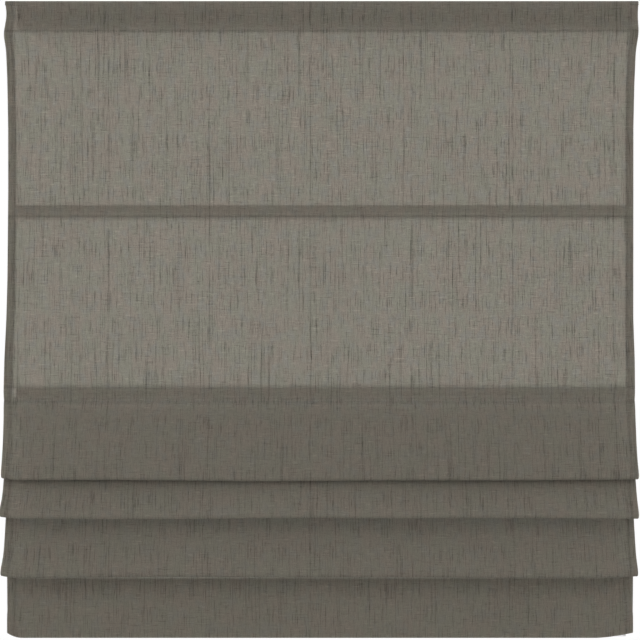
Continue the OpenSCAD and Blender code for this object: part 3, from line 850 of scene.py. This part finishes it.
# %% Sew along lines
def sewn(name, lines, thread):
    """Stitches along the lines, as one mesh piece."""
    curve = bpy.data.curves.new(name, "CURVE")
    curve.dimensions = "3D"
    for line in lines:
        spline = curve.splines.new("POLY")
        spline.points.add(len(line) - 1)
        spline.points.foreach_set("co", np.column_stack([line, np.ones(len(line))]).ravel())
    guide = linked(name, curve)
    modifier = guide.modifiers.new("sewing", "NODES")
    modifier.node_group = sewing
    wanted = {"Pitch": STITCH_PITCH, "Length": STITCH_LENGTH, "Width": THREAD_W, "Thread": thread}
    for item in sewing.interface.items_tree:
        if item.in_out == "INPUT" and item.name in wanted:
            modifier[item.identifier] = wanted[item.name]
    made = guide.evaluated_get(bpy.context.evaluated_depsgraph_get())
    mesh = bpy.data.meshes.new_from_object(made)
    bpy.data.objects.remove(guide)
    mesh.name = name
    return linked(name, mesh)


print("stitches", STITCH_LENGTH, "m long, one every", STITCH_PITCH, "m")

# %% [markdown]
# The seams run where a machinist would put them: down both side hems, along the header and the foot of each
# pocket, and across the top of the bottom hem. Each line is read from the cloth's own surface, so the thread
# lies on it in every fold.

# %% Stitch the seams
STITCH_RISE = CLOTH_T / 2 + THREAD_W * 0.2
FIRST_STITCH = 0.35
HEM_STITCH_IN = 0.004
# how far below a pocket's top edge its two seams run
POCKET_SEAMS = {"upper": (0.0015, 0.0195), "folds": (0.0005, 0.0195)}
room_side = slice(len(hook) - 1, len(sections) - len(hook) + 1)


def seam_down_cloth(name, x):
    """A line down the room side of a stretch, whose first stitch lies clear of the stretch above."""
    grid, _ = cloth_grid(name, -STITCH_RISE)
    column = room_side.start + int(np.argmin(np.abs(sections[room_side, 0] - x)))
    line = grid[:, column] + [x - sections[column, 0], 0, 0]
    line[0] = (1 - FIRST_STITCH) * line[0] + FIRST_STITCH * line[1]
    return line


def seam_across_cloth(name, at):
    """A line across the room side of a stretch, as far down the cloth as at."""
    grid, down = cloth_grid(name, -STITCH_RISE)
    return grid[int(np.argmin(np.abs(down - at))), room_side][2:-2]


hem_x = half_width - STITCH_IN
stitched = {name: [seam_down_cloth(name, side * hem_x) for side in (-1, 1)] for name in stretch_lines}
pockets_down = {"upper": [top_z - pocket_top[1]],
                "folds": [down_to_folds + i * (run_length + pocket_height) for i in range(len(POCKETS) - 1)]}
for name, places in pockets_down.items():
    for pocket_down in places:
        stitched[name] += [seam_across_cloth(name, pocket_down + below) for below in POCKET_SEAMS[name]]
hem_down = tail_down + pocket_height + (tail_start[1] - bottom_z) - HEM_DEPTH + HEM_STITCH_IN
stitched["folds"].append(seam_across_cloth("folds", hem_down))
for name, lines in stitched.items():
    seam = sewn(f"stitches_{name}", lines, sewing_thread)
    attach(seam, "blind_stack" if name == "folds" else "headrail_frame")
    if name == "middle":
        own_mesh(seam)
    print(seam.name, len(seam.data.polygons), "faces")

# %% [markdown]
# A lift cord is a braid about a millimetre and a half thick. From the outside a braid reads as lobes that
# wind round the cord, so the tube is swept with a five-lobed section that turns as it goes. The same sweep,
# led round a drum, gives the turns that are wound on each spool.


# %% Braided cords
CORD_LOBES = 5
CORD_SIDES = 15
LOBE_DEPTH = 0.07
BRAID_TURN = 0.0052
CORD_STEP = 0.0011


def braid(name, line, radius):
    """A lobed tube along an array of points, with a map: metres round it and metres along it."""
    count = len(line)
    way = np.gradient(line, axis=0)
    way /= np.linalg.norm(way, axis=1)[:, None]
    first = np.cross(way[0], (1.0, 0, 0) if abs(way[0][0]) < 0.9 else (0, 1.0, 0))
    side = np.zeros_like(line)
    side[0] = first / np.linalg.norm(first)
    for i in range(1, count):
        carried = side[i - 1] - way[i] * np.dot(side[i - 1], way[i])
        side[i] = carried / np.linalg.norm(carried)
    other = np.cross(way, side)
    along = distances(line)
    turn = 2 * np.pi * along / BRAID_TURN
    angle = np.linspace(0, 2 * np.pi, CORD_SIDES, endpoint=False)
    lobe = 1 - LOBE_DEPTH + LOBE_DEPTH * np.cos(CORD_LOBES * angle[None, :] + turn[:, None])
    round_it = np.cos(angle)[None, :, None] * side[:, None] + np.sin(angle)[None, :, None] * other[:, None]
    points = (line[:, None] + radius * lobe[..., None] * round_it).reshape(-1, 3)
    index = np.arange(count * CORD_SIDES).reshape(count, CORD_SIDES)
    beside = np.roll(index, -1, axis=1)
    quads = np.stack([index[:-1], beside[:-1], beside[1:], index[1:]], 2).reshape(-1, 4)
    faces = quads.tolist() + [index[0][::-1].tolist(), index[-1].tolist()]

    def map_of(corner):
        return np.stack([angle[corner % CORD_SIDES] * radius, along[corner // CORD_SIDES]], 1)

    return linked(name, mapped_mesh(name, points, faces, map_of))


print("a braid has", CORD_LOBES, "lobes, which turn once in", BRAID_TURN * CORD_LOBES, "m")


# %% Lift cords
def cord_finish():
    """Bleached polyester braid."""
    f = Finish("braided_cord")
    place = f.add("ShaderNodeTexCoord").out("Object")
    strand = f.noise(place, (2200, 2200, 900), 2.0)
    grime = f.noise(place, (9, 9, 7), 2.0)
    shade = 0.8 + 0.25 * strand
    base = f.tinted(f.mixed(f.ramp(grime, 0.4, 0.7), rgb(0.78, 0.76, 0.71), rgb(0.70, 0.67, 0.60)), shade)
    return f.finish(f.principled(Base_Color=base, Roughness=f.ramp(strand, 0.3, 0.7, 0.6, 0.8),
                                 Normal=f.bump(strand, 0.0002)))


braided = cord_finish()
cord_x = {}
for side in SIDES:
    low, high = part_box(f"lift_cord_{side}")
    cord_x[side] = (low.x + high.x) / 2
    cord_radius, cord_line_y = (high.x - low.x) / 2, (low.y + high.y) / 2
    levels = np.linspace(high.z, low.z, int((high.z - low.z) / CORD_STEP))
    line = np.stack([np.full_like(levels, cord_x[side]), np.full_like(levels, cord_line_y), levels], 1)
    cord = braid(f"braided_cord_{side}", line, cord_radius)
    cord.data.materials.append(braided)
    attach(cord, "headrail_frame")
    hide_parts(f"lift_cord_{side}")
    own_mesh(cord)
cord_length = high.z - low.z
print("lift cords", round(cord_length, 3), "m each,", len(cord.data.polygons), "faces")

# %% [markdown]
# The rest of each cord is wound on its spool. Turns of cord lie side by side, so one helix from flange to
# flange makes them, and the box of the ready-made sleeve gives its width, its radius and its number of turns.

# %% Turns of cord on the spools
POINTS_PER_TURN = 26
for side in SIDES:
    low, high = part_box(f"wound_cord_{side}")
    centre = (low + high) / 2
    wound_r = (high.z - low.z) / 2 - cord_radius
    turns = round((high.x - low.x) / (2 * cord_radius)) - 1
    angle = np.linspace(0, 2 * np.pi * turns, turns * POINTS_PER_TURN)
    across = np.linspace(low.x + cord_radius, high.x - cord_radius, len(angle))
    line = np.stack([across, centre.y - wound_r * np.cos(angle), centre.z - wound_r * np.sin(angle)], 1)
    coil = braid(f"wound_turns_{side}", line, cord_radius)
    coil.data.materials.append(braided)
    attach(coil, "drive_train")
    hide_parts(f"wound_cord_{side}")
print(turns, "turns on each spool,", round(turns * 2 * math.pi * wound_r, 2), "m of cord")

# %% [markdown]
# Each ring is bound to its pocket by a few loops of thread round the ring's wire. Five small rings of thread
# side by side, pushed into the tape, make one binding.

# %% Bind the rings
LOOPS = 5
LOOP_PITCH = 0.00055
LOOP_THREAD_R = 0.00026
LOOP_WOBBLE = 0.0001
LOOP_SUNK = 0.0004
LOOP_SLACK = 0.0003


def thread_loops(name, number):
    """The bindings of one rod's rings."""
    low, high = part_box(f"rings_{number}")
    wire = (high.z - low.z) / 2
    reach = 1.25 * wire
    ring_front, level = low.y + wire, (low.z + high.z) / 2
    angle = np.linspace(0, 2 * np.pi, 17)
    parts = []
    for side in SIDES:
        for i in range(LOOPS):
            middle = cord_x[side] + (i - LOOPS // 2) * LOOP_PITCH
            line = np.stack([middle + LOOP_WOBBLE * np.sin(3 * angle + i),
                             ring_front - LOOP_SUNK + (reach + LOOP_SLACK) * np.cos(angle),
                             level + reach * np.sin(angle)], 1)
            parts.append(braid(f"loop_{number}_{side}_{i}", line, LOOP_THREAD_R))
    return joined(name, parts)


for number in POCKETS:
    binding = thread_loops(f"ring_binding_{number}", number)
    binding.data.materials.append(sewing_thread)
    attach(binding, body_of_level(number))
print(len(POCKETS) * len(SIDES), "rings bound,", LOOPS, "loops each")

# %% [markdown]
# The hardware keeps its ready-made shape and gets its finish. Extruded aluminium shows fine lines along its
# length, zinc plate a cloudy spangle, moulded plastic a fine grain with a few soft marks, and drawn steel
# lines along the bar. All of them read Object coordinates, because hard parts don't bend.


# %% Hardware finishes
def metal(name, colour, grain, low_rough, high_rough, cloud_scale=40.0):
    """Bare metal with lines or a grain; grain is the noise's scale along each axis."""
    f = Finish(name)
    place = f.add("ShaderNodeTexCoord").out("Object")
    line = f.noise(place, grain, 2.0, 0.6)
    cloud = f.noise(place, (cloud_scale,) * 3, 3.0, 0.55)
    shade = 0.86 + 0.18 * line + 0.10 * cloud
    rough = f.ramp(0.55 * line + 0.45 * cloud, 0.3, 0.7, low_rough, high_rough)
    base = f.tinted(colour, shade)
    normal = f.bump(line, 0.00008)
    return f.finish(f.principled(Base_Color=base, Metallic=1.0, Roughness=rough, Normal=normal))


def moulded(name, colour, low_rough=0.34, high_rough=0.5, grain=700.0):
    """Moulded plastic, with a fine grain, and dust that dulls it here and there."""
    f = Finish(name)
    place = f.add("ShaderNodeTexCoord").out("Object")
    fine = f.noise(place, (grain,) * 3, 2.0, 0.5)
    flow = f.noise(place, (16, 30, 60), 3.0, 0.6)
    shade = 0.93 + 0.07 * fine + 0.05 * flow
    base = f.tinted(colour, shade)
    rough = f.ramp(0.4 * fine + 0.6 * flow, 0.3, 0.7, low_rough, high_rough)
    return f.finish(f.principled(Base_Color=base, Roughness=rough, Normal=f.bump(fine, 0.00006)))


def pile(name, colour, scale, depth):
    """The hooks or the loops of a fastening tape, as a bumpy pile."""
    f = Finish(name)
    place = f.add("ShaderNodeTexCoord").out("Object")
    cells = f.add("ShaderNodeTexVoronoi", None, {"Vector": f.stretched(place, (scale,) * 3), "Scale": 1.0})
    bumps = 1.0 - cells.out("Distance")
    shade = 0.6 + 0.5 * bumps
    base = f.tinted(colour, shade)
    return f.finish(f.principled(Base_Color=base, Roughness=f.ramp(bumps, 0.2, 0.9, 0.9, 0.6),
                                 Normal=f.bump(bumps, depth)))


# %% Finish the hardware
HARDWARE = {
    "mill_aluminium": (metal, rgb(0.78, 0.78, 0.79), (3, 1400, 1400), 0.26, 0.42),
    "zinc_plated_steel": (metal, rgb(0.66, 0.68, 0.70), (260, 260, 260), 0.24, 0.48, 90.0),
    "drawn_steel": (metal, rgb(0.52, 0.52, 0.53), (5, 1800, 1800), 0.28, 0.45),
    "spring_steel": (metal, rgb(0.40, 0.41, 0.43), (900, 900, 900), 0.2, 0.36),
    "white_nylon": (moulded, rgb(0.80, 0.80, 0.77), 0.38, 0.56),
    "light_grey_plastic": (moulded, rgb(0.66, 0.66, 0.65)),
    "dark_plastic": (moulded, rgb(0.06, 0.06, 0.065)),
    "glass_fibre_rod": (moulded, rgb(0.74, 0.75, 0.66), 0.2, 0.34, 1600.0),
    "clear_plastic": (moulded, rgb(0.83, 0.84, 0.84), 0.14, 0.26),
    "hook_strip": (pile, rgb(0.74, 0.74, 0.71), 800.0, 0.0006),
    "loop_strip": (pile, rgb(0.70, 0.69, 0.65), 500.0, 0.0009),
}
finishes = {name: make(name, *looks) for name, (make, *looks) in HARDWARE.items()}
finishes["braided_cord"] = braided
slot_of = {part["node"]: part["material_slot"] for part in frame["record"]["subparts"]}
for node, item in frame["nodes"].items():
    item.data.materials.clear()
    item.data.materials.append(finishes.get(slot_of[node], cloth_finish))
print(len(frame["nodes"]), "nodes finished,", len(HARDWARE), "hardware finishes")

# %% [markdown]
# A moulded or pressed part has no knife edges. Each casing, bracket and cam is copied, its flat faces are
# made whole again, and its corners are rounded by a modifier before the copy takes the part's place.

# %% Round the corners of moulded and pressed parts
MERGE_DISTANCE = 2e-6
FLAT_WITHIN = math.radians(1.0)
CORNER_FROM = math.radians(50)
SHARP_FROM = math.radians(35)


def eased(node, width):
    """A copy of a ready-made part with rounded corners, in the part's place."""
    source = frame["nodes"][node]
    mesh = source.data.copy()
    mesh.name = f"eased_{node}"
    shape = bmesh.new()
    shape.from_mesh(mesh)
    bmesh.ops.remove_doubles(shape, verts=shape.verts, dist=MERGE_DISTANCE)
    bmesh.ops.dissolve_limit(shape, angle_limit=FLAT_WITHIN, verts=shape.verts, edges=shape.edges)
    shape.to_mesh(mesh)
    shape.free()
    piece = linked(mesh.name, mesh)
    bevel = piece.modifiers.new("rounding", "BEVEL")
    bevel.width = width
    bevel.segments = 3
    bevel.limit_method = "ANGLE"
    bevel.angle_limit = CORNER_FROM
    bevel.use_clamp_overlap = False
    made = piece.evaluated_get(bpy.context.evaluated_depsgraph_get())
    piece.data = bpy.data.meshes.new_from_object(made)
    piece.modifiers.clear()
    piece.data.name = mesh.name
    piece.data.shade_smooth()
    piece.data.set_sharp_from_angle(angle=SHARP_FROM)
    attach(piece, source["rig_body"])
    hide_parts(node)


eased_width = {"end_cap": 0.0009, "drive_housing": 0.0009, "drive_cover": 0.0009, "bottom_bar_caps": 0.0006}
for side in SIDES:
    eased_width.update({f"bracket_{side}": 0.0003, f"cam_{side}": 0.0004})
for node, width in eased_width.items():
    eased(node, width)
print(len(eased_width), "parts eased")

# %% [markdown]
# Two screws hold the cover on the drive housing. Each has a low domed head with a cross recess, which is
# made as a ring of points that reach far out in the four arms of the cross and only a little between them.

# %% Screws in the drive's cover
SCREW_R = 0.0021
SCREW_RISE = 0.0004
SCREW_SIDES = 24
SCREW_FROM_EDGE = 0.005
RECESS_DEPTH = 0.0008
# radius and height of the head's rings, from the rim of its flat top down into the cover
SCREW_RINGS = [(0.62 * SCREW_R, SCREW_RISE * 0.9), (SCREW_R, 0.0), (SCREW_R, -0.001)]
ARM_REACH, BETWEEN_ARMS = 0.75, 0.25
ARM_SPAN = SCREW_SIDES // 4


def screw_head(shape, face_x, y, z):
    """A screw head on a face that looks along x, its centre at y and z."""
    turns = np.linspace(0, 2 * np.pi, SCREW_SIDES, endpoint=False)
    rings = [[shape.verts.new((face_x + rise, y + radius * math.cos(turn), z + radius * math.sin(turn)))
              for turn in turns] for radius, rise in SCREW_RINGS]
    for inner, outer in zip(rings, rings[1:]):
        for i in range(SCREW_SIDES):
            shape.faces.new((inner[i - 1], outer[i - 1], outer[i], inner[i]))
    shape.faces.new(rings[-1][::-1])
    rim, mouth = rings[0], []
    for i, vertex in enumerate(rim):
        share = ARM_REACH if i % ARM_SPAN in (0, 1, ARM_SPAN - 1) else BETWEEN_ARMS
        away = Vector((0, vertex.co.y - y, vertex.co.z - z)) * share
        mouth.append(shape.verts.new((vertex.co.x, y + away.y, z + away.z)))
    deep = [shape.verts.new(vertex.co - Vector((RECESS_DEPTH, 0, 0))) for vertex in mouth]
    for i in range(SCREW_SIDES):
        shape.faces.new((rim[i - 1], mouth[i - 1], mouth[i], rim[i]))
        shape.faces.new((mouth[i - 1], deep[i - 1], deep[i], mouth[i]))
    shape.faces.new(deep)


cover_low, cover_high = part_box("drive_cover")
screw_heads = bmesh.new()
for screw_y, screw_z in ((cover_low.y + SCREW_FROM_EDGE, cover_high.z - SCREW_FROM_EDGE),
                         (cover_high.y - SCREW_FROM_EDGE, cover_low.z + SCREW_FROM_EDGE)):
    screw_head(screw_heads, cover_high.x, screw_y, screw_z)
bmesh.ops.recalc_face_normals(screw_heads, faces=screw_heads.faces)
screw_mesh = bpy.data.meshes.new("cover_screws")
screw_heads.to_mesh(screw_mesh)
screw_heads.free()
screws = linked("cover_screws", screw_mesh)
screw_mesh.materials.append(finishes["drawn_steel"])
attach(screws, "headrail_frame")
print(len(screw_mesh.polygons), "faces on the screws")

# %% [markdown]
# The floor is a wide pale plane well below the blind, with a faint mottling so that it isn't a flat tone.

# %% Floor
FLOOR_Z = -2.4
FLOOR_REACH = 7.0
corners = [(x * FLOOR_REACH, y * FLOOR_REACH, FLOOR_Z) for x, y in ((-1, -1), (1, -1), (1, 1), (-1, 1))]
floor_mesh = bpy.data.meshes.new("floor")
floor_mesh.from_pydata(corners, [], [(0, 1, 2, 3)])
floor = linked("floor", floor_mesh)
pale = Finish("pale_floor")
mottle = pale.noise(pale.add("ShaderNodeTexCoord").out("Object"), (3, 3, 3))
pale_colour = pale.mixed(mottle, rgb(0.80, 0.80, 0.79), rgb(0.83, 0.83, 0.82))
floor_mesh.materials.append(pale.finish(pale.principled(Base_Color=pale_colour, Roughness=0.9)))
print("floor at", FLOOR_Z)
